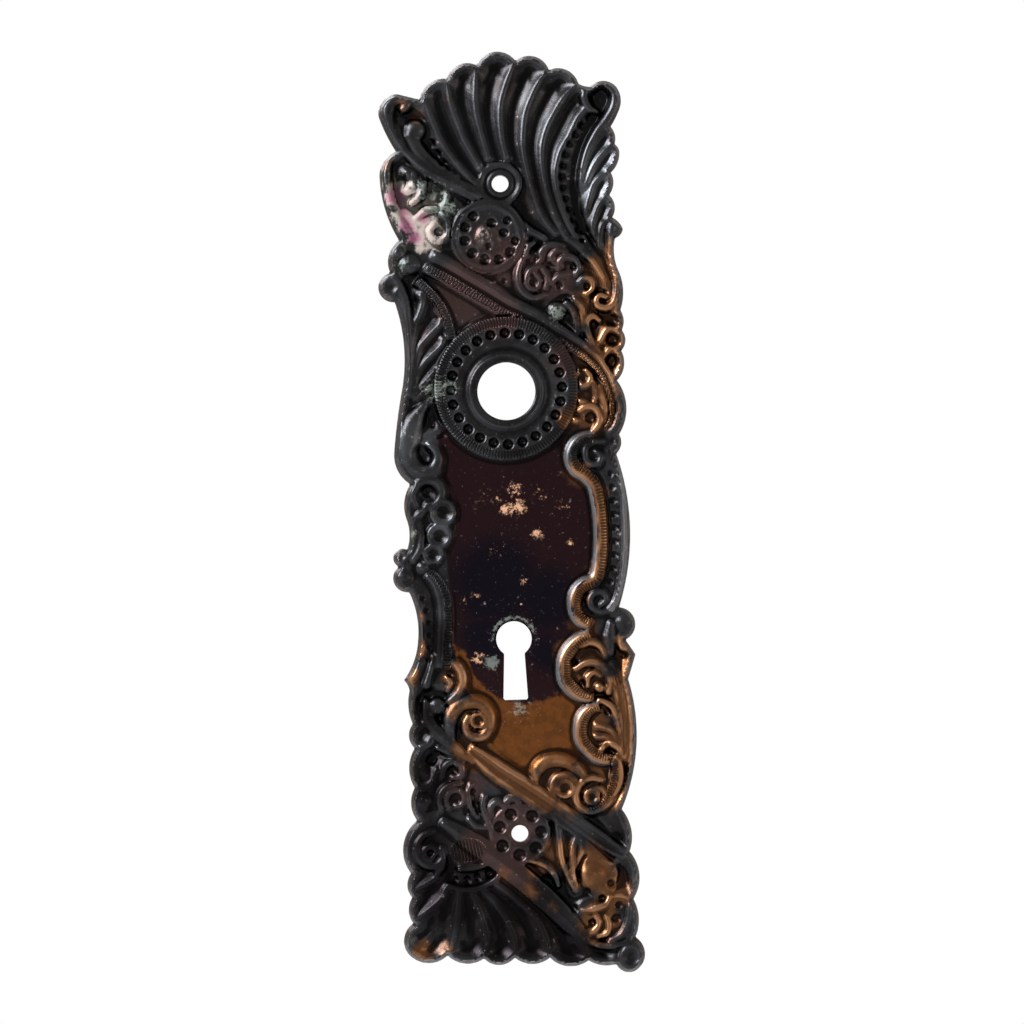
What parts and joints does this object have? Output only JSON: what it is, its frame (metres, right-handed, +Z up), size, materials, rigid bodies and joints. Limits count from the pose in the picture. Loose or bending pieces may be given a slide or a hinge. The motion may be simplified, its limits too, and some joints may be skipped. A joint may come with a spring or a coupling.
{
  "type": "door plate",
  "caption": "Long ornamental door plate with shell ends, scrolled frames, a round knob hole in a dimpled rosette, a keyhole and screw holes.",
  "frame": {"origin": "centre of the knob hole on the plane of the door's face", "axes": "+Z up along the plate, -Y out of the door towards the viewer, +X to the right seen from the front"},
  "size_m": [0.0644, 0.0047, 0.2398],
  "materials": {
    "bronze": "aged bronze with dark patina, rubbed warm on the high edges"
  },
  "bodies": {
    "root": {"door_plate": "bronze"}
  },
  "joints": []
}
